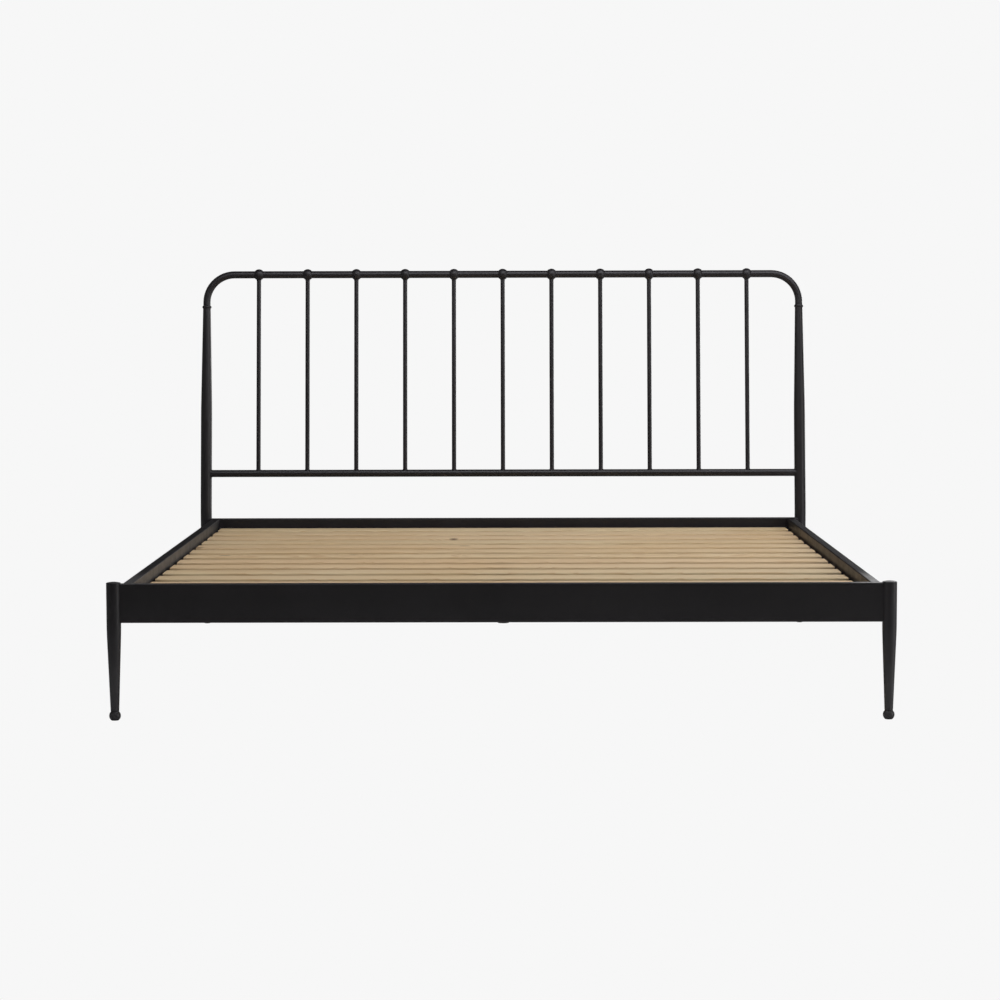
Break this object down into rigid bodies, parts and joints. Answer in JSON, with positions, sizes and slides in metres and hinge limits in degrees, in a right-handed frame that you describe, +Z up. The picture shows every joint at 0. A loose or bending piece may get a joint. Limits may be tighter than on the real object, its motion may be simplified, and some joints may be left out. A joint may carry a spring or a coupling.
{
  "type": "metal bed frame",
  "caption": "Black metal bed frame: low rail base on tapered legs with ball feet, a slatted deck, and a leaning rounded headboard with vertical spindles and round knuckle joints.",
  "frame": {"origin": "middle of the whole frame's footprint, on the floor", "axes": "+Z up, +Y from the foot end to the headboard, +X to the right when looking from the foot end"},
  "size_m": [2.017, 2.203, 1.18],
  "materials": {
    "black_powder_coat": "satin black powder coat",
    "zinc": "zinc-plated steel",
    "black_plastic": "matte moulded plastic",
    "pine": "planed, untreated pine"
  },
  "bodies": {
    "frame": {"foot_rail": "black_powder_coat", "foot_leg_left": "black_powder_coat", "foot_leg_right": "black_powder_coat", "leg_cap_left": "black_powder_coat", "leg_cap_right": "black_powder_coat", "ball_feet": "black_powder_coat", "rear_rail": "black_powder_coat", "headboard_post_left": "black_powder_coat", "headboard_post_right": "black_powder_coat", "post_collars": "black_powder_coat", "headboard_hoop": "black_powder_coat", "headboard_crossbar": "black_powder_coat", "side_rail_left": "black_powder_coat", "side_rail_right": "black_powder_coat", "slat_ledge_left": "black_powder_coat", "slat_ledge_right": "black_powder_coat", "centre_beam": "black_powder_coat", "beam_hangers": "black_powder_coat", "centre_leg": "black_powder_coat", "corner_brackets": "black_powder_coat", "spindle_01": "black_powder_coat", "spindle_02": "black_powder_coat", "spindle_03": "black_powder_coat", "spindle_04": "black_powder_coat", "spindle_05": "black_powder_coat", "spindle_06": "black_powder_coat", "spindle_07": "black_powder_coat", "spindle_08": "black_powder_coat", "spindle_09": "black_powder_coat", "spindle_10": "black_powder_coat", "spindle_11": "black_powder_coat", "ball_joint_01": "black_powder_coat", "ball_joint_02": "black_powder_coat", "ball_joint_03": "black_powder_coat", "ball_joint_04": "black_powder_coat", "ball_joint_05": "black_powder_coat", "ball_joint_06": "black_powder_coat", "ball_joint_07": "black_powder_coat", "ball_joint_08": "black_powder_coat", "ball_joint_09": "black_powder_coat", "ball_joint_10": "black_powder_coat", "ball_joint_11": "black_powder_coat", "frame_bolts": "zinc", "frame_washers": "zinc", "frame_nuts": "zinc", "slat_cradles": "black_plastic", "slat_01": "pine", "slat_02": "pine", "slat_03": "pine", "slat_04": "pine", "slat_05": "pine", "slat_06": "pine", "slat_07": "pine", "slat_08": "pine", "slat_09": "pine", "slat_10": "pine", "slat_11": "pine", "slat_12": "pine", "slat_13": "pine"},
    "levelling_foot": {"levelling_foot": "black_plastic"}
  },
  "joints": [
    {"name": "levelling_foot_screw", "type": "slide", "parent": "frame", "child": "levelling_foot", "axis": [0, 0, 1], "range_m": [0, 0.012]}
  ]
}
